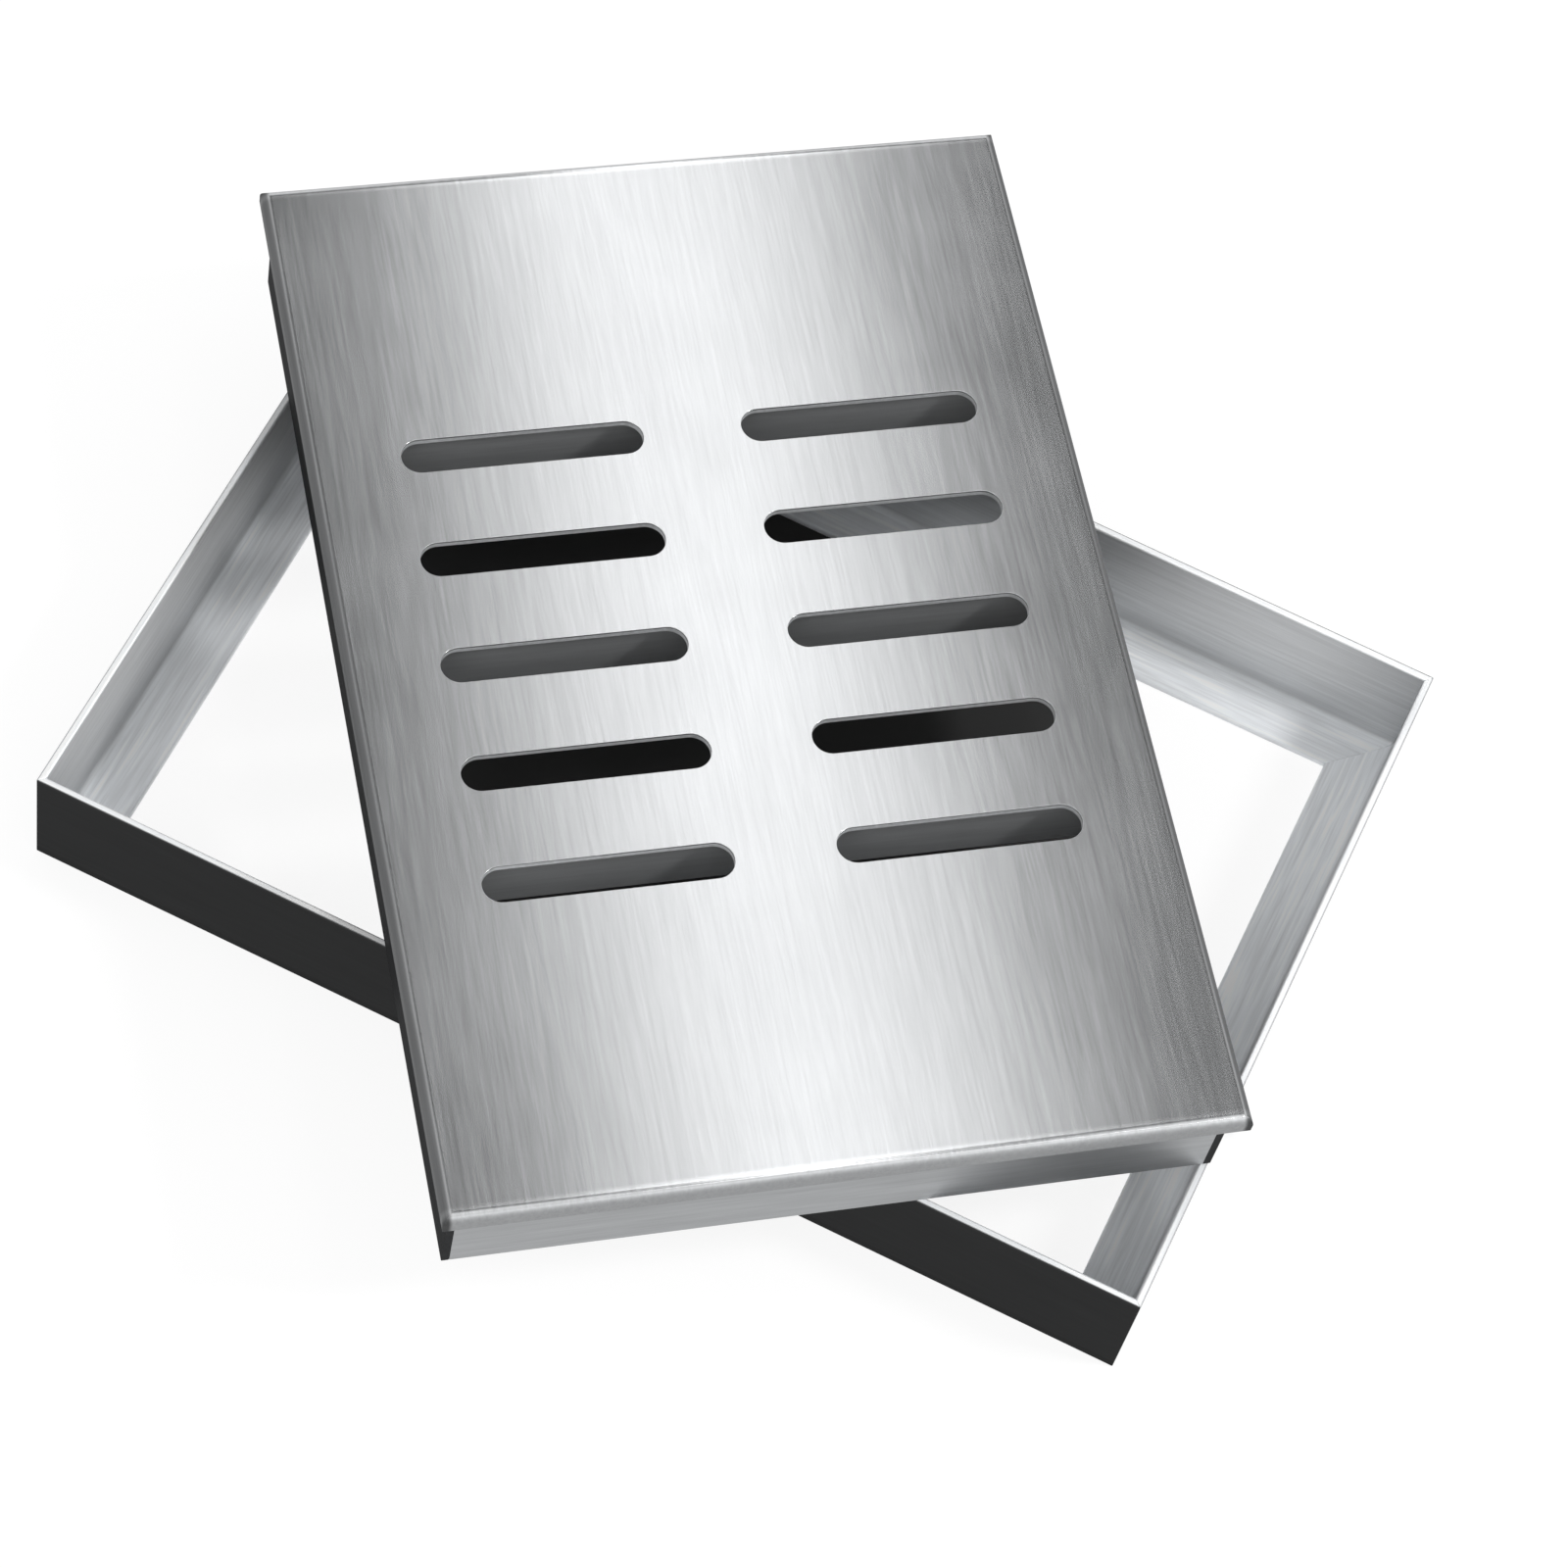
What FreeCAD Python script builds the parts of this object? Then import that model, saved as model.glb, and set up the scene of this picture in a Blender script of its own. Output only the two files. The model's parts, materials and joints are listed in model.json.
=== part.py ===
# Slotted drain grate of stainless steel, its cover lying turned across its angle frame.
# Z is up. The origin is on the frame's underside, at the centre of its opening.
# The cover's width runs along X and its length along Y, and the frame is turned under it.
import FreeCAD, Part
import Sketcher
import math
import os

doc = FreeCAD.newDocument("DrainGrate")

# Driving dimensions, in millimetres and degrees

SIZES = {
    # Cover plate: one sheet with its four edges folded down into a short lip
    "cover_width": 300.0,
    "cover_length": 450.0,
    "plate_thickness": 3.0,
    "fold_inner_radius": 1.0,
    "lip_depth": 8.0,
    # Drain slots, in rows across the cover
    "slot_width": 15.0,
    "slot_length": 95.0,
    "slot_row_spacing": 47.0,
    "slot_column_spacing": 134.0,
    # Skirt: flat bars on edge under the plate, its sides just clear of the inner folds
    "skirt_thickness": 3.0,
    "skirt_side_inset": 4.0,
    "skirt_end_inset": 8.0,
    # Stiffeners: flat bars on edge, each just beyond a row of slots
    "stiffener_thickness": 3.0,
    "stiffener_depth": 30.0,
    "stiffener_shift": 12.0,
    # Frame: four lengths of angle mitred at the corners, with the ledge at the bottom
    "frame_height": 55.0,
    "ledge_width": 25.0,
    "angle_thickness": 3.0,
    "root_radius": 3.0,
    "toe_radius": 1.0,
    "seat_clearance": 1.5,
    # How the lifted cover lies on the frame
    "frame_turn": -36.0,
    "cover_shift_x": -11.0,
    "cover_shift_y": 11.0,
    # How far a cut runs past the material it removes
    "cut_margin": 5.0,
}
SLOT_ROWS = 5
SLOT_COLUMNS = 2

# Sizes that follow from the driving ones. The cover lies flush when it is dropped
# into the frame, so the ledge and the top of the frame set its depth.

DERIVED = {
    "cover_depth": "frame_height - angle_thickness",
    "lip_bottom": "cover_depth - lip_depth",
    "plate_underside": "cover_depth - plate_thickness",
    "fold_outer_radius": "fold_inner_radius + plate_thickness",
    "hollow_width": "cover_width - 2 * plate_thickness",
    "hollow_length": "cover_length - 2 * plate_thickness",
    "hollow_depth": "lip_depth - plate_thickness",
    "slot_straight": "slot_length - slot_width",
    "slot_end_radius": "slot_width / 2",
    "slot_columns_reach": "slot_column_spacing * %d" % (SLOT_COLUMNS - 1),
    "slot_rows_reach": "slot_row_spacing * %d" % (SLOT_ROWS - 1),
    "first_slot_left": "(slot_columns_reach + slot_straight) / 2",
    "first_slot_down": "slot_rows_reach / 2",
    "skirt_width": "cover_width - 2 * skirt_side_inset",
    "skirt_length": "cover_length - 2 * skirt_end_inset",
    "skirt_inner_width": "skirt_width - 2 * skirt_thickness",
    "skirt_side_reach": "(skirt_width - skirt_thickness) / 2",
    "skirt_end_reach": "(skirt_length - skirt_thickness) / 2",
    "stiffener_bottom": "plate_underside - stiffener_depth",
    "frame_width": "cover_width + 2 * (seat_clearance + angle_thickness)",
    "frame_length": "cover_length + 2 * (seat_clearance + angle_thickness)",
    "mitre_leg": "ledge_width + 2 * cut_margin",
}

sheet = doc.addObject("Spreadsheet::Sheet", "Sizes")
formulas = {name: "=" + formula for name, formula in DERIVED.items()}
for row, (name, content) in enumerate({**SIZES, **formulas}.items(), start=1):
    sheet.set("A%d" % row, name)
    sheet.set("B%d" % row, str(content))
    sheet.setAlias("B%d" % row, name)
doc.recompute()

AXIS_X = FreeCAD.Vector(1, 0, 0)
AXIS_Y = FreeCAD.Vector(0, 1, 0)
AXIS_Z = FreeCAD.Vector(0, 0, 1)
SAME = 1e-4

# Helpers that bodies share. Lengths are passed by their names in the sheet.


def size(name):
    """The present value of a driving or derived size."""
    return sheet.get(name)


def new_body(label):
    """An empty body whose label also names its file."""
    body = doc.addObject("PartDesign::Body", label)
    body.Label = label
    return body


def origin_feature(body, role):
    """One of the body's own origin axes or planes."""
    return [feature for feature in body.Origin.OriginFeatures if feature.Role == role][0]


def new_sketch(body, plane_role, name, height=None):
    """A sketch on one of the body's origin planes, raised by a size."""
    sketch = body.newObject("Sketcher::SketchObject", name)
    sketch.AttachmentSupport = [(origin_feature(body, plane_role), "")]
    sketch.MapMode = "FlatFace"
    if height is not None:
        sketch.setExpression("AttachmentOffset.Base.z", "Sizes." + height)
    return sketch


def add_closed_outline(sketch, points):
    """Straight sides through the points, joined end to end, level or upright where drawn so."""
    first = sketch.GeometryCount
    count = len(points)
    for index, (start, end) in enumerate(zip(points, points[1:] + points[:1])):
        line = Part.LineSegment(FreeCAD.Vector(start[0], start[1], 0), FreeCAD.Vector(end[0], end[1], 0))
        sketch.addGeometry(line)
        if start[1] == end[1]:
            sketch.addConstraint(Sketcher.Constraint("Horizontal", first + index))
        elif start[0] == end[0]:
            sketch.addConstraint(Sketcher.Constraint("Vertical", first + index))
    for index in range(count):
        after = first + (index + 1) % count
        sketch.addConstraint(Sketcher.Constraint("Coincident", first + index, 2, after, 1))
    return first


def bind(sketch, kind, places, expression, drawn):
    """A dimension between two places of a sketch, bound to an expression."""
    index = sketch.addConstraint(Sketcher.Constraint(kind, *places, drawn))
    sketch.setExpression("Constraints[%d]" % index, expression)


def add_centred_rectangle(sketch, width, length):
    """A rectangle about the sketch's origin."""
    half_w = size(width) / 2
    half_l = size(length) / 2
    add_closed_outline(sketch, [(-half_w, -half_l), (half_w, -half_l), (half_w, half_l), (-half_w, half_l)])
    sketch.addConstraint(Sketcher.Constraint("Symmetric", 0, 1, 2, 1, -1, 1))
    bind(sketch, "DistanceX", (0, 1, 0, 2), "Sizes." + width, size(width))
    bind(sketch, "DistanceY", (1, 1, 1, 2), "Sizes." + length, size(length))


def add_first_slot(sketch):
    """The outline of the front left slot, with round ends."""
    radius = size("slot_end_radius")
    left = FreeCAD.Vector(-size("first_slot_left"), -size("first_slot_down"), 0)
    right = left + AXIS_X * size("slot_straight")
    up = AXIS_Y * radius
    quarter = math.pi / 2
    sketch.addGeometry(Part.ArcOfCircle(Part.Circle(left, AXIS_Z, radius), quarter, 3 * quarter))
    sketch.addGeometry(Part.ArcOfCircle(Part.Circle(right, AXIS_Z, radius), -quarter, quarter))
    sketch.addGeometry(Part.LineSegment(left - up, right - up))
    sketch.addGeometry(Part.LineSegment(right + up, left + up))
    sketch.addConstraint(Sketcher.Constraint("Tangent", 0, 2, 2, 1))
    sketch.addConstraint(Sketcher.Constraint("Tangent", 2, 2, 1, 1))
    sketch.addConstraint(Sketcher.Constraint("Tangent", 1, 2, 3, 1))
    sketch.addConstraint(Sketcher.Constraint("Tangent", 3, 2, 0, 1))
    sketch.addConstraint(Sketcher.Constraint("Horizontal", 2))
    bind(sketch, "Radius", (0,), "Sizes.slot_end_radius", radius)
    bind(sketch, "DistanceX", (0, 3, 1, 3), "Sizes.slot_straight", size("slot_straight"))
    bind(sketch, "DistanceX", (0, 3, -1, 1), "Sizes.first_slot_left", size("first_slot_left"))
    bind(sketch, "DistanceY", (0, 3, -1, 1), "Sizes.first_slot_down", size("first_slot_down"))


def add_pad(body, sketch, name, length, symmetric=False):
    """Material on the sketch's normal side, or half on each side."""
    pad = body.newObject("PartDesign::Pad", name)
    pad.Profile = sketch
    pad.Midplane = symmetric
    pad.setExpression("Length", "Sizes." + length)
    doc.recompute()
    return pad


def add_pocket(body, sketch, name, depth=None):
    """A cut from the sketch towards its normal side, to a depth or through everything."""
    before = body.Shape.Volume
    pocket = body.newObject("PartDesign::Pocket", name)
    pocket.Profile = sketch
    pocket.Reversed = True
    if depth is None:
        pocket.Type = "ThroughAll"
    else:
        pocket.setExpression("Length", "Sizes." + depth)
    doc.recompute()
    if not pocket.Shape.Volume < before:
        raise RuntimeError("%s removes nothing from %s" % (name, body.Label))
    return pocket


def lies_at(edge, direction, offset):
    """Whether both ends of an edge are at one distance along a direction."""
    return all(abs(vertex.Point.dot(direction) - offset) < SAME for vertex in edge.Vertexes)


def add_fillet(body, base, name, chosen, radius):
    """Rounds the edges of a feature that a test chooses."""
    edges = ["Edge%d" % (i + 1) for i, edge in enumerate(base.Shape.Edges) if chosen(edge)]
    fillet = body.newObject("PartDesign::Fillet", name)
    fillet.Base = (base, edges)
    fillet.setExpression("Radius", "Sizes." + radius)
    doc.recompute()
    return fillet


def place(body, offset_x, offset_y, offset_z, turn="0"):
    """Binds a body's place and its turn about Z to expressions."""
    body.Placement = FreeCAD.Placement(FreeCAD.Vector(0, 0, 0), FreeCAD.Rotation(AXIS_Z, 1))
    body.setExpression("Placement.Rotation.Angle", turn)
    body.setExpression("Placement.Base.x", offset_x)
    body.setExpression("Placement.Base.y", offset_y)
    body.setExpression("Placement.Base.z", offset_z)


# Cover plate with its folded lip and the slots


def make_cover_plate():
    body = new_body("cover_plate")
    outline = new_sketch(body, "XY_Plane", "plate_outline", "lip_bottom")
    add_centred_rectangle(outline, "cover_width", "cover_length")
    slab = add_pad(body, outline, "plate_slab", "lip_depth")

    def is_top_edge(edge):
        return lies_at(edge, AXIS_Z, size("cover_depth"))

    add_fillet(body, slab, "outer_folds", is_top_edge, "fold_outer_radius")

    hollow_outline = new_sketch(body, "XY_Plane", "hollow_outline", "lip_bottom")
    add_centred_rectangle(hollow_outline, "hollow_width", "hollow_length")
    hollow = add_pocket(body, hollow_outline, "hollow", "hollow_depth")

    def is_underside_edge(edge):
        return lies_at(edge, AXIS_Z, size("plate_underside"))

    add_fillet(body, hollow, "inner_folds", is_underside_edge, "fold_inner_radius")

    slot_outline = new_sketch(body, "XY_Plane", "slot_outline", "lip_bottom")
    add_first_slot(slot_outline)
    slot = add_pocket(body, slot_outline, "slot")

    pattern = body.newObject("PartDesign::LinearPattern", "slot_pattern")
    pattern.Originals = [slot]
    pattern.Direction = (origin_feature(body, "X_Axis"), [""])
    pattern.setExpression("Length", "Sizes.slot_columns_reach")
    pattern.Occurrences = SLOT_COLUMNS
    pattern.Direction2 = (origin_feature(body, "Y_Axis"), [""])
    pattern.setExpression("Length2", "Sizes.slot_rows_reach")
    pattern.Occurrences2 = SLOT_ROWS
    body.Tip = pattern
    place(body, "Sizes.cover_shift_x", "Sizes.cover_shift_y", "Sizes.frame_height")
    return body


# Skirt and stiffeners: flat bars on edge, welded under the plate


def make_bar(label, width, length, height, offset_x="0", offset_y="0", bottom="0"):
    """A flat bar whose place is given from the cover's centre and the frame's top."""
    body = new_body(label)
    outline = new_sketch(body, "XY_Plane", label + "_outline")
    add_centred_rectangle(outline, width, length)
    add_pad(body, outline, label + "_bar", height)
    place(body, "Sizes.cover_shift_x + " + offset_x, "Sizes.cover_shift_y + " + offset_y,
          "Sizes.frame_height + " + bottom)
    return body


def make_skirt():
    bodies = []
    for side, sign in (("left", -1), ("right", 1)):
        bodies.append(make_bar("skirt_side_" + side, "skirt_thickness", "skirt_length", "plate_underside",
                               offset_x="%d * Sizes.skirt_side_reach" % sign))
    for end, sign in (("front", -1), ("back", 1)):
        bodies.append(make_bar("skirt_end_" + end, "skirt_inner_width", "skirt_thickness", "plate_underside",
                               offset_y="%d * Sizes.skirt_end_reach" % sign))
    return bodies


def make_stiffeners():
    bodies = []
    for name, rows_from_middle in (("front", -2), ("middle", 0), ("back", 2)):
        reach = "%d * Sizes.slot_row_spacing + Sizes.stiffener_shift" % rows_from_middle
        bodies.append(make_bar("stiffener_" + name, "skirt_inner_width", "stiffener_thickness",
                               "stiffener_depth", offset_y=reach, bottom="Sizes.stiffener_bottom"))
    return bodies


# Frame: each length of angle runs along its own X, with its outer face at y = 0


def make_angle(label, length, span, quarter_turns):
    """A mitred length of angle, its outer face half a span from the frame's centre."""
    body = new_body(label)
    section = new_sketch(body, "YZ_Plane", label + "_section")
    thin = size("angle_thickness")
    wide = size("ledge_width")
    high = size("frame_height")
    add_closed_outline(section, [(0, 0), (wide, 0), (wide, thin), (thin, thin), (thin, high), (0, high)])
    section.addConstraint(Sketcher.Constraint("Coincident", 0, 1, -1, 1))
    bind(section, "DistanceX", (0, 1, 0, 2), "Sizes.ledge_width", wide)
    bind(section, "DistanceY", (1, 1, 1, 2), "Sizes.angle_thickness", thin)
    bind(section, "DistanceX", (4, 2, 4, 1), "Sizes.angle_thickness", thin)
    bind(section, "DistanceY", (5, 2, 5, 1), "Sizes.frame_height", high)
    bar = add_pad(body, section, label + "_angle", length, symmetric=True)

    def is_root(edge):
        return lies_at(edge, AXIS_Y, thin) and lies_at(edge, AXIS_Z, thin)

    def is_toe(edge):
        ledge_toe = lies_at(edge, AXIS_Y, wide) and lies_at(edge, AXIS_Z, thin)
        wall_toe = lies_at(edge, AXIS_Y, thin) and lies_at(edge, AXIS_Z, high)
        return ledge_toe or wall_toe

    rooted = add_fillet(body, bar, label + "_root", is_root, "root_radius")
    add_fillet(body, rooted, label + "_toes", is_toe, "toe_radius")

    mitre = new_sketch(body, "XY_Plane", label + "_mitre_outline")
    leg = size("mitre_leg")
    margin = size("cut_margin")
    tip = size(length) / 2 + margin
    add_closed_outline(mitre, [(tip, -margin), (tip, leg - margin), (tip - leg, leg - margin)])
    bind(mitre, "DistanceY", (0, 1, 0, 2), "Sizes.mitre_leg", leg)
    bind(mitre, "DistanceX", (1, 2, 1, 1), "Sizes.mitre_leg", leg)
    bind(mitre, "DistanceX", (-1, 1, 0, 1), "Sizes.%s / 2 + Sizes.cut_margin" % length, tip)
    bind(mitre, "DistanceY", (0, 1, -1, 1), "Sizes.cut_margin", margin)
    cut = add_pocket(body, mitre, label + "_mitre")
    mirrored = body.newObject("PartDesign::Mirrored", label + "_mitres")
    mirrored.Originals = [cut]
    mirrored.MirrorPlane = (origin_feature(body, "YZ_Plane"), [""])
    body.Tip = mirrored

    reach = "Sizes.%s / 2" % span
    angle = "(Sizes.frame_turn + %d)" % (90 * quarter_turns)
    place(body, "%s * sin(%s)" % (reach, angle), "-%s * cos(%s)" % (reach, angle), "0", angle)
    return body


def make_frame():
    return [
        make_angle("frame_side_front", "frame_length", "frame_width", 0),
        make_angle("frame_end_right", "frame_width", "frame_length", 1),
        make_angle("frame_side_back", "frame_length", "frame_width", 2),
        make_angle("frame_end_left", "frame_width", "frame_length", 3),
    ]


parts = [make_cover_plate()] + make_skirt() + make_stiffeners() + make_frame()
doc.recompute()

for item in doc.Objects:
    if "Invalid" in item.State or "Error" in item.State:
        raise RuntimeError("%s failed: %s" % (item.Label, item.State))
for item in parts:
    if item.Shape.isNull() or not item.Shape.isValid() or len(item.Shape.Solids) != 1:
        raise RuntimeError("%s is not one valid solid" % item.Label)

os.makedirs("parts", exist_ok=True)
for item in parts:
    item.Shape.exportStep("parts/%s.step" % item.Label)
    box = item.Shape.BoundBox
    print("%-18s volume %9.1f  x %7.1f %7.1f  y %7.1f %7.1f  z %5.1f %5.1f" % (
        item.Label, item.Shape.Volume, box.XMin, box.XMax, box.YMin, box.YMax, box.ZMin, box.ZMax))
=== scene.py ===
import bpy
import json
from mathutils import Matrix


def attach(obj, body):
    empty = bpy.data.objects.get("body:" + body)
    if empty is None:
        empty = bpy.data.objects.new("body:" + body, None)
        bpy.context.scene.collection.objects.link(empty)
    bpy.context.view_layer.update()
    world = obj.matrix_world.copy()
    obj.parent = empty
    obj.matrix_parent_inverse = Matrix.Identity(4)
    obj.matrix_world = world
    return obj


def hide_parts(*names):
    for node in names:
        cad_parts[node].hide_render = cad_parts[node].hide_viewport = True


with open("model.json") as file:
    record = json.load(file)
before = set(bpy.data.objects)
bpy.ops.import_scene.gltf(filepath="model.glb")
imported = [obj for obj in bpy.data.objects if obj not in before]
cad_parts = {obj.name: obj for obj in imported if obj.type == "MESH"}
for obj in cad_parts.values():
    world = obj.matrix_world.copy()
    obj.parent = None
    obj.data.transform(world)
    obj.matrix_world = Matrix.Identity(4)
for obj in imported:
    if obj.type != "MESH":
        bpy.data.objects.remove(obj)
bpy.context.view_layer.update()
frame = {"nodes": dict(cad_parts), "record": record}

import json
import math

import bmesh
import bpy
from bpy.props import FloatProperty, FloatVectorProperty, IntProperty, PointerProperty

bl_info = {
    "name": "Drain Grate",
    "version": (1, 0, 0),
    "blender": (4, 5, 0),
    "location": "View3D > Sidebar > Drain Grate",
    "description": "Dresses a slotted drain cover and its angle frame in brushed stainless steel",
    "category": "Object",
}

BODY = "root"
RECORD_COLOURS = {entry["slot"]: entry["base_color"][:3] for entry in frame["record"]["materials"]}

COVER_NODES = ["cover_plate"]
SKIRT_SIDES = ["skirt_side_left", "skirt_side_right"]
SKIRT_ENDS = ["skirt_end_front", "skirt_end_back"]
STIFFENERS = ["stiffener_front", "stiffener_middle", "stiffener_back"]
FRAME_SIDES = ["frame_side_front", "frame_side_back"]
FRAME_ENDS = ["frame_end_left", "frame_end_right"]

# Where the painted shade and highlight change, in metres: the cover's outline, its folds and the frame's
# outline
COVER_CENTRE = (-0.011, 0.011)
COVER_HALF_WIDTH = 0.15
COVER_HALF_LENGTH = 0.225
END_FOLD_RAMP = 0.006
SIDE_FOLD_RAMP = 0.0038
SIDE_FOLD_FULL = 0.0018
FRAME_SIDE_REACH = 0.1545
FRAME_END_REACH = 0.2295

# Brushed grain: features per metre along and across it, and the weight of each layer
FINE_GRAIN = (40.0, 1100.0)
MIDDLE_GRAIN = (22.0, 480.0)
BROAD_GRAIN = (5.0, 90.0)
FINE_WEIGHT, MIDDLE_WEIGHT, BROAD_WEIGHT = 0.4, 0.5, 0.1
FINE_HEIGHT, MIDDLE_HEIGHT = 0.6, 0.4
GRAIN_ROUGHNESS_SPREAD = 0.06

# Where masks begin and where they are full, in metres: below the top, above a ledge and below an edge
CUT_MASK = (0.0003, 0.001)
LEDGE_MASK = (0.0025, 0.0002)
EDGE_MASK = (0.0014, 0.0003)

# Cleaning of the solids' meshes before their edges are rounded
MERGE_DISTANCE = 1e-6
FLAT_ANGLE = math.radians(0.3)


# Sizes and colours that a user would change


class GrateSizes(bpy.types.PropertyGroup):
    rim_radius: FloatProperty(
        name="Slot rim", description="Rounding of the slot rims and the lip's cut edge",
        default=0.0009, min=0.0001, max=0.0014, precision=5, unit="LENGTH")
    bar_edge_radius: FloatProperty(
        name="Bar edge", description="Rounding along the edges of skirt bars and stiffeners",
        default=0.0003, min=0.0001, max=0.001, precision=5, unit="LENGTH")
    angle_edge_radius: FloatProperty(
        name="Angle edge", description="Rounding along the edges and mitres of the frame's angles",
        default=0.0004, min=0.0001, max=0.001, precision=5, unit="LENGTH")
    edge_segments: IntProperty(
        name="Edge segments", description="Faces across each rounded edge", default=3, min=1, max=6)
    sharp_angle: FloatProperty(
        name="Sharp angle", description="Edges that turn more than this are rounded",
        default=math.radians(38.0), subtype="ANGLE")


class GrateFinish(bpy.types.PropertyGroup):
    cover_colour: FloatVectorProperty(
        name="Cover", description="Colour of the cover's brushed steel", subtype="COLOR", size=3,
        min=0.0, max=1.0, default=RECORD_COLOURS["cover_steel"])
    skirt_colour: FloatVectorProperty(
        name="Skirt", description="Colour of the skirt bars and stiffeners", subtype="COLOR", size=3,
        min=0.0, max=1.0, default=RECORD_COLOURS["skirt_steel"])
    frame_colour: FloatVectorProperty(
        name="Frame", description="Colour of the frame's steel angle", subtype="COLOR", size=3,
        min=0.0, max=1.0, default=RECORD_COLOURS["frame_steel"])
    cover_roughness: FloatProperty(
        name="Cover roughness", description="Mean roughness of the cover",
        default=0.22, min=0.0, max=1.0)
    bar_roughness: FloatProperty(
        name="Bar roughness", description="Mean roughness of skirt bars and stiffeners",
        default=0.5, min=0.0, max=1.0)
    frame_roughness: FloatProperty(
        name="Frame roughness", description="Mean roughness of the frame's angles",
        default=0.6, min=0.0, max=1.0)
    # Lip tones paint shade onto the lip's long and short faces
    lip_side_tone: FloatProperty(
        name="Lip side tone", description="Tone of the lip's long faces against the plate's top",
        default=0.25, min=0.0, max=1.0)
    lip_end_tone: FloatProperty(
        name="Lip end tone", description="Tone of the lip's short faces against the plate's top",
        default=0.5, min=0.0, max=1.0)
    # A painted highlight along the cover's short folds
    fold_painted_highlight: FloatProperty(
        name="Fold shine", description="Worn brightness along the cover's short folds",
        default=0.7, min=0.0, max=1.0)
    # Skirt tones paint shade onto the long skirt bars, and less onto the short ones
    skirt_side_tone: FloatProperty(
        name="Skirt side tone", description="Tone of the long skirt bars against their colour",
        default=0.14, min=0.0, max=1.0)
    skirt_end_tone: FloatProperty(
        name="Skirt end tone", description="Tone of the short skirt bars against their colour",
        default=0.85, min=0.0, max=1.0)
    stiffener_tone: FloatProperty(
        name="Stiffener tone", description="Tone of the matte stiffeners against the skirt's colour",
        default=0.5, min=0.0, max=1.0)
    # These tones paint shade onto the outer faces of the long and short angles
    side_shade_tone: FloatProperty(
        name="Side shade tone", description="Tone of the long angles' outer faces against the rest",
        default=0.045, min=0.0, max=1.0)
    end_shade_tone: FloatProperty(
        name="End shade tone", description="Tone of the short angles' outer faces against the rest",
        default=0.38, min=0.0, max=1.0)
    grain_contrast: FloatProperty(
        name="Grain contrast", description="Spread of tone in the brushed grain",
        default=0.56, min=0.0, max=2.0)
    grain_depth: FloatProperty(
        name="Grain depth", description="Height of the brushed grain",
        default=0.0000008, min=0.0, max=0.001, precision=6, unit="LENGTH")
    frame_turn: FloatProperty(
        name="Frame turn", description="Turn of the frame's long sides, which the grain follows",
        default=math.radians(-36.0), subtype="ANGLE")


class GrateStage(bpy.types.PropertyGroup):
    floor_colour: FloatVectorProperty(
        name="Floor", description="Colour of the studio floor", subtype="COLOR", size=3,
        min=0.0, max=1.0, default=(0.16, 0.16, 0.16))
    floor_lift: FloatProperty(
        name="Floor lift", description="White that camera and mirror rays add to the floor",
        default=0.86, min=0.0, max=1.0)
    floor_size: FloatProperty(
        name="Floor size", description="Width of the studio floor", default=16.0, unit="LENGTH")
    strip_power: FloatProperty(
        name="Strip light", description="Power of the long lamp mirrored by the cover",
        default=4.1, unit="POWER")
    key_power: FloatProperty(
        name="Key light", description="Power of the broad lamp at the front left",
        default=13.0, unit="POWER")
    fill_power: FloatProperty(
        name="Fill light", description="Power of the small lamp at the front right",
        default=38.0, unit="POWER")
    studio_strength: FloatProperty(
        name="Studio", description="Brightness of the pale studio around the object",
        default=0.85, min=0.0, max=2.0)
    dark_card_strength: FloatProperty(
        name="Dark card", description="Brightness of the dark card that the cover mirrors",
        default=0.065, min=0.0, max=2.0)
    camera_place: FloatVectorProperty(
        name="Camera place", description="Where the camera stands", size=3, subtype="TRANSLATION",
        default=(-0.3887, -0.9036, 1.6831))
    camera_turn: FloatVectorProperty(
        name="Camera turn", description="Camera rotation about X, Y and Z", size=3, subtype="EULER",
        default=(math.radians(29.721), math.radians(-7.578), math.radians(-11.241)))
    camera_lens: FloatProperty(
        name="Lens", description="Focal length on a 36 mm sensor, in millimetres", default=112.5, min=1.0)


# Shader node groups


def new_group(name, inputs, outputs):
    """An empty shader group with a vector input, number inputs with their defaults and number outputs."""
    group = bpy.data.node_groups.new(name, "ShaderNodeTree")
    group.interface.new_socket(name="Vector", in_out="INPUT", socket_type="NodeSocketVector")
    for title, value in inputs.items():
        socket = group.interface.new_socket(name=title, in_out="INPUT", socket_type="NodeSocketFloat")
        socket.default_value = value
    for title in outputs:
        group.interface.new_socket(name=title, in_out="OUTPUT", socket_type="NodeSocketFloat")
    return group, group.nodes.new("NodeGroupInput"), group.nodes.new("NodeGroupOutput")


def add_math(tree, operation, first, second=None, third=None):
    """A math node whose inputs are sockets or numbers; returns its output."""
    node = tree.nodes.new("ShaderNodeMath")
    node.operation = operation
    for index, value in enumerate((first, second, third)):
        if value is None:
            continue
        if isinstance(value, bpy.types.NodeSocket):
            tree.links.new(value, node.inputs[index])
        else:
            node.inputs[index].default_value = value
    return node.outputs[0]


def add_ramp(tree, value, start, full):
    """A smooth mask that is 0 at one value and 1 at another; each is a socket or a number."""
    node = tree.nodes.new("ShaderNodeMapRange")
    node.interpolation_type = "SMOOTHSTEP"
    for title, limit in (("Value", value), ("From Min", start), ("From Max", full)):
        if isinstance(limit, bpy.types.NodeSocket):
            tree.links.new(limit, node.inputs[title])
        else:
            node.inputs[title].default_value = limit
    return node.outputs["Result"]


def split_vector(tree, vector):
    """A node that gives the X, Y and Z of a vector."""
    node = tree.nodes.new("ShaderNodeSeparateXYZ")
    tree.links.new(vector, node.inputs["Vector"])
    return node


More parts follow.
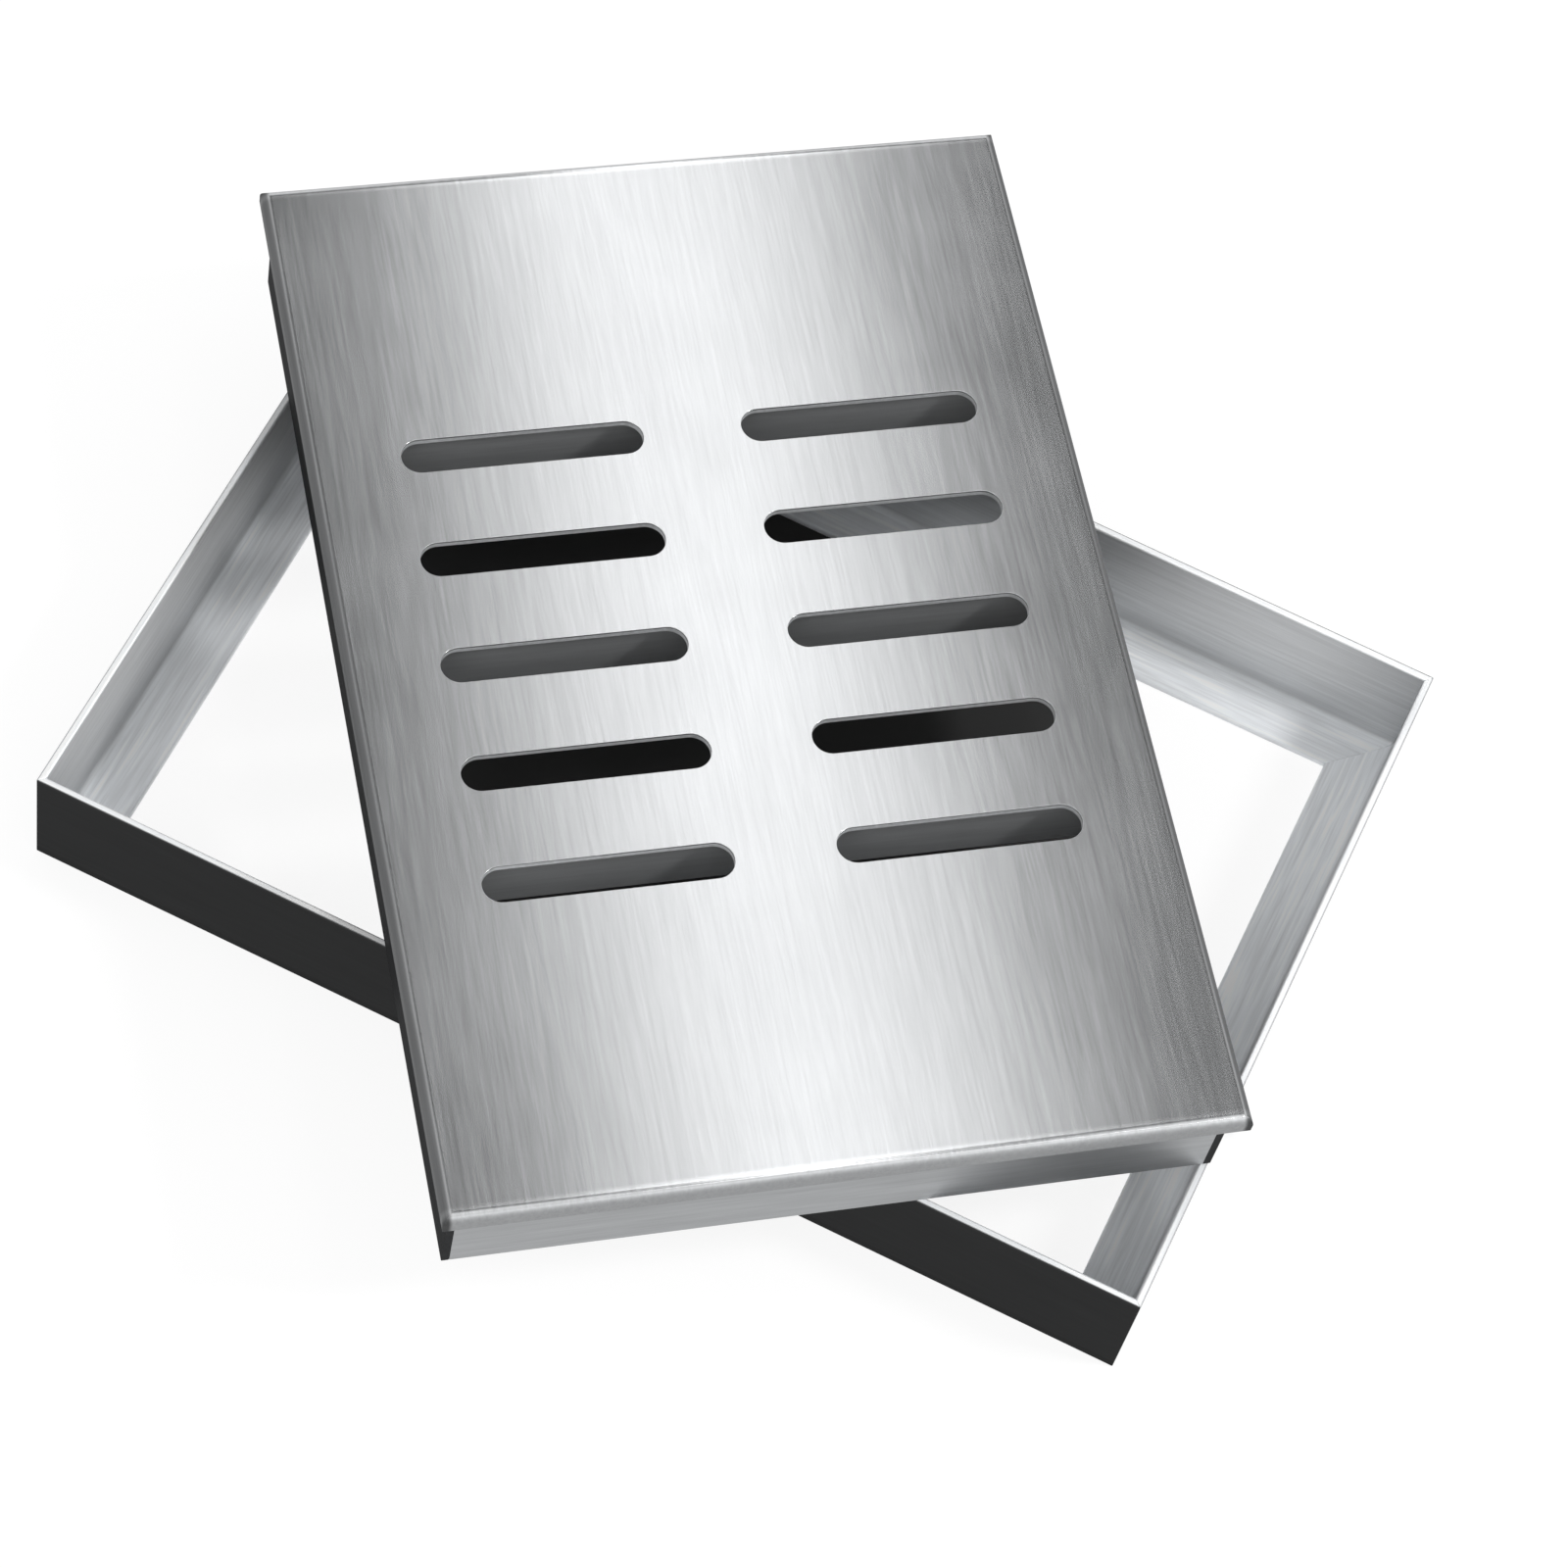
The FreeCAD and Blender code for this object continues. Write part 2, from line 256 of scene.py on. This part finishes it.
def add_stretched_noise(tree, vector, along, across):
    """Noise whose features are long in X and narrow in Y and Z; scales are features per metre."""
    mapping = tree.nodes.new("ShaderNodeMapping")
    mapping.inputs["Scale"].default_value = (along, across, across)
    noise = tree.nodes.new("ShaderNodeTexNoise")
    noise.inputs["Scale"].default_value = 1.0
    noise.inputs["Detail"].default_value = 2.0
    tree.links.new(vector, mapping.inputs["Vector"])
    tree.links.new(mapping.outputs["Vector"], noise.inputs["Vector"])
    return noise.outputs["Fac"]


def make_grain_group():
    """Brushed grain that runs along X of its vector: fine scratches over broader streaks."""
    group, entry, result = new_group(
        "Brushed grain", {"Streak contrast": 0.1, "Roughness": 0.3, "Roughness spread": 0.1},
        ("Tone", "Roughness", "Height"))
    vector = entry.outputs["Vector"]
    fine = add_stretched_noise(group, vector, *FINE_GRAIN)
    middle = add_stretched_noise(group, vector, *MIDDLE_GRAIN)
    broad = add_stretched_noise(group, vector, *BROAD_GRAIN)
    mixed = add_math(group, "MULTIPLY", middle, MIDDLE_WEIGHT)
    mixed = add_math(group, "MULTIPLY_ADD", fine, FINE_WEIGHT, mixed)
    mixed = add_math(group, "MULTIPLY_ADD", broad, BROAD_WEIGHT, mixed)
    centred = add_math(group, "SUBTRACT", mixed, 0.5)
    tone = add_math(group, "MULTIPLY_ADD", centred, entry.outputs["Streak contrast"], 1.0)
    spread = add_math(group, "MULTIPLY", centred, entry.outputs["Roughness spread"])
    rough = add_math(group, "ADD", spread, entry.outputs["Roughness"])
    height = add_math(group, "MULTIPLY", middle, MIDDLE_HEIGHT)
    height = add_math(group, "MULTIPLY_ADD", fine, FINE_HEIGHT, height)
    group.links.new(tone, result.inputs["Tone"])
    group.links.new(rough, result.inputs["Roughness"])
    group.links.new(height, result.inputs["Height"])


def make_handling_group():
    """Soft clouds and wiped smudges that handling leaves on steel."""
    group, entry, result = new_group(
        "Handling marks", {"Clouds per metre": 14.0, "Tone spread": 0.05, "Roughness spread": 0.06},
        ("Tone", "Roughness offset"))
    cloud = group.nodes.new("ShaderNodeTexNoise")
    cloud.inputs["Detail"].default_value = 3.0
    cloud.inputs["Distortion"].default_value = 0.4
    group.links.new(entry.outputs["Vector"], cloud.inputs["Vector"])
    group.links.new(entry.outputs["Clouds per metre"], cloud.inputs["Scale"])
    centred = add_math(group, "SUBTRACT", cloud.outputs["Fac"], 0.5)
    tone = add_math(group, "MULTIPLY_ADD", centred, entry.outputs["Tone spread"], 1.0)
    offset = add_math(group, "MULTIPLY", centred, entry.outputs["Roughness spread"])
    group.links.new(tone, result.inputs["Tone"])
    group.links.new(offset, result.inputs["Roughness offset"])


def make_outer_group():
    """Paints shade onto the faces that lie along an outline about the vector's origin, ends and sides apart,
    and a highlight halfway up the ends' ramp.
    """
    group, entry, result = new_group(
        "Outer faces",
        {"Half length": 1.0, "Half width": 1.0, "End tone": 1.0, "Side tone": 1.0, "End ramp": 0.0008,
         "Side ramp": 0.0008, "End full": 0.0001, "Side full": 0.0001, "End shine": 0.0},
        ("Tone",))
    split = split_vector(group, entry.outputs["Vector"])
    masks, tones = [], []
    for axis, half, name in (("X", "Half length", "End"), ("Y", "Half width", "Side")):
        reach = add_math(group, "ABSOLUTE", split.outputs[axis])
        inset = add_math(group, "SUBTRACT", entry.outputs[half], reach)
        mask = add_ramp(group, inset, entry.outputs[name + " ramp"], entry.outputs[name + " full"])
        fall = add_math(group, "SUBTRACT", entry.outputs[name + " tone"], 1.0)
        masks.append(mask)
        tones.append(add_math(group, "MULTIPLY_ADD", fall, mask, 1.0))
    # The painted highlight is greatest halfway up the ends' ramp: 4 m (1 - m)
    rest = add_math(group, "SUBTRACT", 4.0, add_math(group, "MULTIPLY", masks[0], 4.0))
    crest = add_math(group, "MULTIPLY", rest, masks[0])
    shine = add_math(group, "MULTIPLY_ADD", crest, entry.outputs["End shine"], 1.0)
    tone = add_math(group, "MULTIPLY", add_math(group, "MULTIPLY", *tones), shine)
    group.links.new(tone, result.inputs["Tone"])


def make_cut_group():
    """Dulls what the brush did not reach below a top face: cut walls, folded lip and underside, and brightens
    them by its gain as a painted highlight.
    """
    group, entry, result = new_group(
        "Below the top", {"Top": 0.107, "Gain": 0.2, "Dulling": 0.5}, ("Tone", "Roughness offset"))
    split = split_vector(group, entry.outputs["Vector"])
    depth = add_math(group, "SUBTRACT", entry.outputs["Top"], split.outputs["Z"])
    below = add_ramp(group, depth, *CUT_MASK)
    # The gain paints a highlight onto the faces below the top
    tone = add_math(group, "MULTIPLY_ADD", below, entry.outputs["Gain"], 1.0)
    dulled = add_math(group, "MULTIPLY", below, entry.outputs["Dulling"])
    group.links.new(tone, result.inputs["Tone"])
    group.links.new(dulled, result.inputs["Roughness offset"])


def make_seat_highlight_group():
    """Paints a highlight onto an angle's ledge and its wall's top edge, and dulls the ledge."""
    group, entry, result = new_group(
        "Painted seat highlight",
        {"Ledge top": 0.003, "Wall top": 0.055, "Ledge gain": 0.34, "Edge gain": 0.4, "Ledge dulling": 0.3},
        ("Tone", "Roughness offset"))
    split = split_vector(group, entry.outputs["Vector"])
    above_ledge = add_math(group, "SUBTRACT", split.outputs["Z"], entry.outputs["Ledge top"])
    ledge = add_ramp(group, above_ledge, *LEDGE_MASK)
    below_edge = add_math(group, "SUBTRACT", entry.outputs["Wall top"], split.outputs["Z"])
    edge = add_ramp(group, below_edge, *EDGE_MASK)
    # Ledge and edge gains paint a highlight; the ledge dulling is roughness
    ledge_highlight = add_math(group, "MULTIPLY_ADD", ledge, entry.outputs["Ledge gain"], 1.0)
    edge_highlight = add_math(group, "MULTIPLY", edge, entry.outputs["Edge gain"])
    dulled = add_math(group, "MULTIPLY", ledge, entry.outputs["Ledge dulling"])
    group.links.new(add_math(group, "ADD", ledge_highlight, edge_highlight), result.inputs["Tone"])
    group.links.new(dulled, result.inputs["Roughness offset"])


def place_group(tree, name, vector, values):
    """Puts a node group into a material, on a vector and with its own values."""
    node = tree.nodes.new("ShaderNodeGroup")
    node.node_tree = bpy.data.node_groups[name]
    tree.links.new(vector, node.inputs["Vector"])
    for title, value in values.items():
        node.inputs[title].default_value = value
    return node


def make_brushed_steel(name, colour, roughness, turn, finish, centre=(0.0, 0.0), edge_tint=1.0, outer=None,
                       extra=None, metallic=1.0):
    """Brushed stainless steel whose grain runs along X turned about Z through a centre.

    edge_tint dims what it mirrors at a grazing angle, outer holds the values of the group Outer faces,
    and extra names one more group that changes tone and roughness.
    """
    material = bpy.data.materials.new(name)
    material.use_nodes = True
    tree = material.node_tree
    shader = tree.nodes["Principled BSDF"]
    shader.inputs["Metallic"].default_value = metallic
    shader.inputs["Specular Tint"].default_value = (edge_tint, edge_tint, edge_tint, 1.0)

    coordinates = tree.nodes.new("ShaderNodeTexCoord")
    centred = tree.nodes.new("ShaderNodeVectorMath")
    centred.operation = "SUBTRACT"
    centred.inputs[1].default_value = (*centre, 0.0)
    turned = tree.nodes.new("ShaderNodeMapping")
    turned.inputs["Rotation"].default_value = (0.0, 0.0, -turn)
    tree.links.new(coordinates.outputs["Object"], centred.inputs[0])
    tree.links.new(centred.outputs["Vector"], turned.inputs["Vector"])
    vector = turned.outputs["Vector"]

    grain = place_group(tree, "Brushed grain", vector, {
        "Streak contrast": finish.grain_contrast, "Roughness": roughness,
        "Roughness spread": GRAIN_ROUGHNESS_SPREAD})
    marks = place_group(tree, "Handling marks", coordinates.outputs["Object"], {})
    tone = add_math(tree, "MULTIPLY", grain.outputs["Tone"], marks.outputs["Tone"])
    # The outer faces' tones paint shade, and their end shine paints a highlight along folds
    if outer is not None:
        faces = place_group(tree, "Outer faces", vector, outer)
        tone = add_math(tree, "MULTIPLY", tone, faces.outputs["Tone"])
    rough = add_math(tree, "ADD", grain.outputs["Roughness"], marks.outputs["Roughness offset"])
    # The extra group's tone paints a highlight; its roughness offset dulls the surface
    if extra is not None:
        highlight_and_dulling = place_group(tree, extra, vector, {})
        tone = add_math(tree, "MULTIPLY", tone, highlight_and_dulling.outputs["Tone"])
        rough = add_math(tree, "ADD", rough, highlight_and_dulling.outputs["Roughness offset"])
    tinted = tree.nodes.new("ShaderNodeVectorMath")
    tinted.operation = "SCALE"
    tinted.inputs[0].default_value = colour
    tree.links.new(tone, tinted.inputs["Scale"])
    tree.links.new(tinted.outputs["Vector"], shader.inputs["Base Color"])
    tree.links.new(rough, shader.inputs["Roughness"])

    bump = tree.nodes.new("ShaderNodeBump")
    bump.inputs["Distance"].default_value = finish.grain_depth
    tree.links.new(grain.outputs["Height"], bump.inputs["Height"])
    tree.links.new(bump.outputs["Normal"], shader.inputs["Normal"])


# Pieces: copies of the solids with their edges rounded


def turn_of(edge):
    """The angle an edge turns through, or zero where it has not two faces."""
    return edge.calc_face_angle(0.0) if edge.is_manifold else 0.0


def round_edges(bm, radius, segments, sharp_angle):
    """Rounds every edge of a merged solid that turns more than an angle."""
    edges = [edge for edge in bm.edges if turn_of(edge) > sharp_angle]
    if not edges:
        raise RuntimeError("no sharp edges to round")
    bmesh.ops.bevel(bm, geom=edges, offset=radius, offset_type="OFFSET", segments=segments, profile=0.5,
                    affect="EDGES", material=-1, clamp_overlap=True, loop_slide=True)


def dress_node(node, radius, sizes, material):
    """Builds the rounded piece that stands for one solid of the frame."""
    bm = bmesh.new()
    bm.from_mesh(frame["nodes"][node].data)
    bmesh.ops.remove_doubles(bm, verts=bm.verts, dist=MERGE_DISTANCE)
    bmesh.ops.dissolve_limit(bm, angle_limit=FLAT_ANGLE, verts=bm.verts, edges=bm.edges)
    round_edges(bm, radius, sizes.edge_segments, sizes.sharp_angle)
    mesh = bpy.data.meshes.new(node + "_dressed")
    bm.to_mesh(mesh)
    bm.free()
    mesh.shade_smooth()
    mesh.materials.append(material)

    piece = bpy.data.objects.new(node + "_dressed", mesh)
    bpy.context.scene.collection.objects.link(piece)
    normals = piece.modifiers.new("Flat faces stay flat", "WEIGHTED_NORMAL")
    normals.keep_sharp = True
    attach(piece, BODY)
    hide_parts(node)


class GRATE_OT_steels(bpy.types.Operator):
    """Make the brushed steels that the pieces share"""
    bl_idname = "drain_grate.steels"
    bl_label = "Make Steels"

    def execute(self, context):
        finish = context.scene.grate_finish
        make_grain_group()
        make_handling_group()
        make_outer_group()
        make_cut_group()
        make_seat_highlight_group()
        quarter = math.radians(90.0)
        # The lip's tones paint shade onto its faces, and its end shine paints a highlight along its short
        # folds
        lip = {"Half length": COVER_HALF_LENGTH, "Half width": COVER_HALF_WIDTH,
               "End ramp": END_FOLD_RAMP, "Side ramp": SIDE_FOLD_RAMP, "Side full": SIDE_FOLD_FULL,
               "End shine": finish.fold_painted_highlight,
               "End tone": finish.lip_end_tone, "Side tone": finish.lip_side_tone}
        make_brushed_steel("Cover steel", finish.cover_colour, finish.cover_roughness, quarter, finish,
                           centre=COVER_CENTRE, edge_tint=0.6, outer=lip, extra="Below the top")
        # A low tone and a low edge tint paint shade onto the long skirt bars, a milder tone onto the short
        # ones
        for name, tone, turn, options in (
                ("Skirt side steel", finish.skirt_side_tone, quarter, {"edge_tint": 0.25}),
                ("Skirt end steel", finish.skirt_end_tone, 0.0, {"edge_tint": 0.6}),
                ("Stiffener steel", finish.stiffener_tone, 0.0, {"metallic": 0.0})):
            colour = [channel * tone for channel in finish.skirt_colour]
            make_brushed_steel(name, colour, finish.bar_roughness, turn, finish, **options)
        # The outer tone paints shade onto the angles' outer faces; the seat group paints a highlight on
        # ledges and top edges
        for name, reach, tone, turn in (
                ("Frame side steel", FRAME_SIDE_REACH, finish.side_shade_tone, finish.frame_turn),
                ("Frame end steel", FRAME_END_REACH, finish.end_shade_tone, finish.frame_turn + quarter)):
            make_brushed_steel(name, finish.frame_colour, finish.frame_roughness, turn, finish, edge_tint=0.6,
                               outer={"Half width": reach, "Side tone": tone}, extra="Painted seat highlight")
        return {"FINISHED"}


class GRATE_OT_cover(bpy.types.Operator):
    """Build the cover plate with rounded slot rims"""
    bl_idname = "drain_grate.cover"
    bl_label = "Build Cover Plate"

    def execute(self, context):
        sizes = context.scene.grate_sizes
        for node in COVER_NODES:
            dress_node(node, sizes.rim_radius, sizes, bpy.data.materials["Cover steel"])
        return {"FINISHED"}


class GRATE_OT_skirt(bpy.types.Operator):
    """Build the skirt bars and the stiffeners under the plate"""
    bl_idname = "drain_grate.skirt"
    bl_label = "Build Skirt and Stiffeners"

    def execute(self, context):
        sizes = context.scene.grate_sizes
        for nodes, steel in ((SKIRT_SIDES, "Skirt side steel"), (SKIRT_ENDS, "Skirt end steel"),
                             (STIFFENERS, "Stiffener steel")):
            for node in nodes:
                dress_node(node, sizes.bar_edge_radius, sizes, bpy.data.materials[steel])
        return {"FINISHED"}


class GRATE_OT_frame(bpy.types.Operator):
    """Build the four mitred lengths of angle"""
    bl_idname = "drain_grate.frame"
    bl_label = "Build Frame"

    def execute(self, context):
        sizes = context.scene.grate_sizes
        for nodes, steel in ((FRAME_SIDES, "Frame side steel"), (FRAME_ENDS, "Frame end steel")):
            for node in nodes:
                dress_node(node, sizes.angle_edge_radius, sizes, bpy.data.materials[steel])
        return {"FINISHED"}


# Stage: floor, studio light and camera

# The card's direction, and the angles from it at which it is fully dark and at which it ends
DARK_CARD_DIRECTION = (0.203, 0.491, 0.847)
DARK_CARD_INNER = math.radians(13.0)
DARK_CARD_OUTER = math.radians(29.0)
# The painted shadow on the floor under the cover: its corners, the width of its soft rim and its share of the
# colour
PAINTED_SHADOW_BOX = ((-0.122, -0.150), (0.142, 0.205))
PAINTED_SHADOW_RIM = 0.025
PAINTED_SHADOW_SHARE = 0.25
# Each lamp's place, its rotation in degrees, its width and its length
LAMPS = {
    "strip_light": ((0.358, 0.928, 1.688), (-10.5, 0.0, 0.6), 0.27, 2.4),
    "key_light": ((-1.7, -1.2, 2.0), (44.0, 0.0, -54.0), 1.6, 1.6),
    "fill_light": ((1.9, -0.8, 2.3), (42.0, 0.0, 67.0), 0.5, 0.5),
}


def make_floor(stage):
    """A grey floor that camera and mirror rays see as white, save in a painted shadow under the cover."""
    material = bpy.data.materials.new("Studio floor")
    material.use_nodes = True
    tree = material.node_tree
    shader = tree.nodes["Principled BSDF"]
    shader.inputs["Roughness"].default_value = 0.9
    shader.inputs["Specular IOR Level"].default_value = 0.0

    coordinates = tree.nodes.new("ShaderNodeTexCoord")
    split = split_vector(tree, coordinates.outputs["Object"])
    beyond = []
    for axis in (0, 1):
        middle = (PAINTED_SHADOW_BOX[0][axis] + PAINTED_SHADOW_BOX[1][axis]) / 2
        half = (PAINTED_SHADOW_BOX[1][axis] - PAINTED_SHADOW_BOX[0][axis]) / 2
        offset = add_math(tree, "ABSOLUTE", add_math(tree, "SUBTRACT", split.outputs[axis], middle))
        beyond.append(add_math(tree, "SUBTRACT", offset, half))
    outside = add_ramp(tree, add_math(tree, "MAXIMUM", *beyond), 0.0, PAINTED_SHADOW_RIM)

    # The painted shadow darkens the floor's colour under the cover and takes the lift away there
    share = add_math(tree, "MULTIPLY_ADD", outside, 1.0 - PAINTED_SHADOW_SHARE, PAINTED_SHADOW_SHARE)
    shade = tree.nodes.new("ShaderNodeVectorMath")
    shade.operation = "SCALE"
    shade.inputs[0].default_value = stage.floor_colour
    tree.links.new(share, shade.inputs["Scale"])
    tree.links.new(shade.outputs["Vector"], shader.inputs["Base Color"])

    rays = tree.nodes.new("ShaderNodeLightPath")
    seen = add_math(tree, "MAXIMUM", rays.outputs["Is Camera Ray"], rays.outputs["Is Glossy Ray"])
    lift = add_math(tree, "MULTIPLY", seen, stage.floor_lift)
    shader.inputs["Emission Color"].default_value = (1.0, 1.0, 1.0, 1.0)
    tree.links.new(add_math(tree, "MULTIPLY", lift, outside), shader.inputs["Emission Strength"])

    bm = bmesh.new()
    bmesh.ops.create_grid(bm, x_segments=1, y_segments=1, size=stage.floor_size / 2)
    mesh = bpy.data.meshes.new("studio_floor")
    bm.to_mesh(mesh)
    bm.free()
    mesh.materials.append(material)
    floor = bpy.data.objects.new("studio_floor", mesh)
    bpy.context.scene.collection.objects.link(floor)


def add_area_lamp(name, power):
    """One of the lamps, shining at its power."""
    place, turn, width, length = LAMPS[name]
    lamp = bpy.data.lights.new(name, "AREA")
    lamp.shape = "RECTANGLE"
    lamp.size = width
    lamp.size_y = length
    lamp.energy = power
    holder = bpy.data.objects.new(name, lamp)
    holder.location = place
    holder.rotation_euler = [math.radians(angle) for angle in turn]
    bpy.context.scene.collection.objects.link(holder)


def make_world(stage):
    """A pale studio with a dark card up behind the object, which the cover mirrors."""
    world = bpy.data.worlds.new("Studio")
    world.use_nodes = True
    bpy.context.scene.world = world
    tree = world.node_tree
    background = tree.nodes["Background"]
    direction = tree.nodes.new("ShaderNodeTexCoord")
    nearness = tree.nodes.new("ShaderNodeVectorMath")
    nearness.operation = "DOT_PRODUCT"
    nearness.inputs[1].default_value = DARK_CARD_DIRECTION
    blend = tree.nodes.new("ShaderNodeMapRange")
    blend.interpolation_type = "SMOOTHSTEP"
    blend.inputs["From Min"].default_value = math.cos(DARK_CARD_OUTER)
    blend.inputs["From Max"].default_value = math.cos(DARK_CARD_INNER)
    blend.inputs["To Min"].default_value = stage.studio_strength
    blend.inputs["To Max"].default_value = stage.dark_card_strength
    tree.links.new(direction.outputs["Generated"], nearness.inputs[0])
    tree.links.new(nearness.outputs["Value"], blend.inputs["Value"])
    tree.links.new(blend.outputs["Result"], background.inputs["Strength"])
    background.inputs["Color"].default_value = (1.0, 1.0, 1.0, 1.0)


def make_camera(stage):
    """The camera that sees the object as the photograph does."""
    camera = bpy.data.cameras.new("photograph_view")
    camera.lens = stage.camera_lens
    camera.sensor_width = 36.0
    camera.clip_start = 0.01
    camera.clip_end = 100.0
    holder = bpy.data.objects.new("photograph_view", camera)
    holder.location = stage.camera_place
    holder.rotation_euler = stage.camera_turn
    bpy.context.scene.collection.objects.link(holder)
    bpy.context.scene.camera = holder


class GRATE_OT_stage(bpy.types.Operator):
    """Set up the pale floor, the studio light and the camera"""
    bl_idname = "drain_grate.stage"
    bl_label = "Set Up Stage"

    def execute(self, context):
        stage = context.scene.grate_stage
        make_floor(stage)
        make_world(stage)
        add_area_lamp("strip_light", stage.strip_power)
        add_area_lamp("key_light", stage.key_power)
        add_area_lamp("fill_light", stage.fill_power)
        make_camera(stage)
        context.scene.view_settings.view_transform = "Standard"
        return {"FINISHED"}


class GRATE_PT_panel(bpy.types.Panel):
    """Lists the grate's operators, sizes and colours"""
    bl_label = "Drain Grate"
    bl_idname = "GRATE_PT_panel"
    bl_space_type = "VIEW_3D"
    bl_region_type = "UI"
    bl_category = "Drain Grate"

    def draw(self, context):
        for step in STEPS:
            self.layout.operator(step.bl_idname)
        for group in (context.scene.grate_sizes, context.scene.grate_finish, context.scene.grate_stage):
            box = self.layout.box()
            for name in group.__annotations__:
                box.prop(group, name)


STEPS = (GRATE_OT_steels, GRATE_OT_cover, GRATE_OT_skirt, GRATE_OT_frame, GRATE_OT_stage)
GROUPS = {"grate_sizes": GrateSizes, "grate_finish": GrateFinish, "grate_stage": GrateStage}


def register():
    for cls in (*GROUPS.values(), *STEPS, GRATE_PT_panel):
        bpy.utils.register_class(cls)
    for name, cls in GROUPS.items():
        setattr(bpy.types.Scene, name, PointerProperty(type=cls))


def unregister():
    for name in GROUPS:
        delattr(bpy.types.Scene, name)
    for cls in reversed((*GROUPS.values(), *STEPS, GRATE_PT_panel)):
        bpy.utils.unregister_class(cls)


def main():
    register()
    bpy.ops.drain_grate.steels()
    bpy.ops.drain_grate.cover()
    bpy.ops.drain_grate.skirt()
    bpy.ops.drain_grate.frame()
    bpy.ops.drain_grate.stage()


if __name__ == "__main__":
    main()
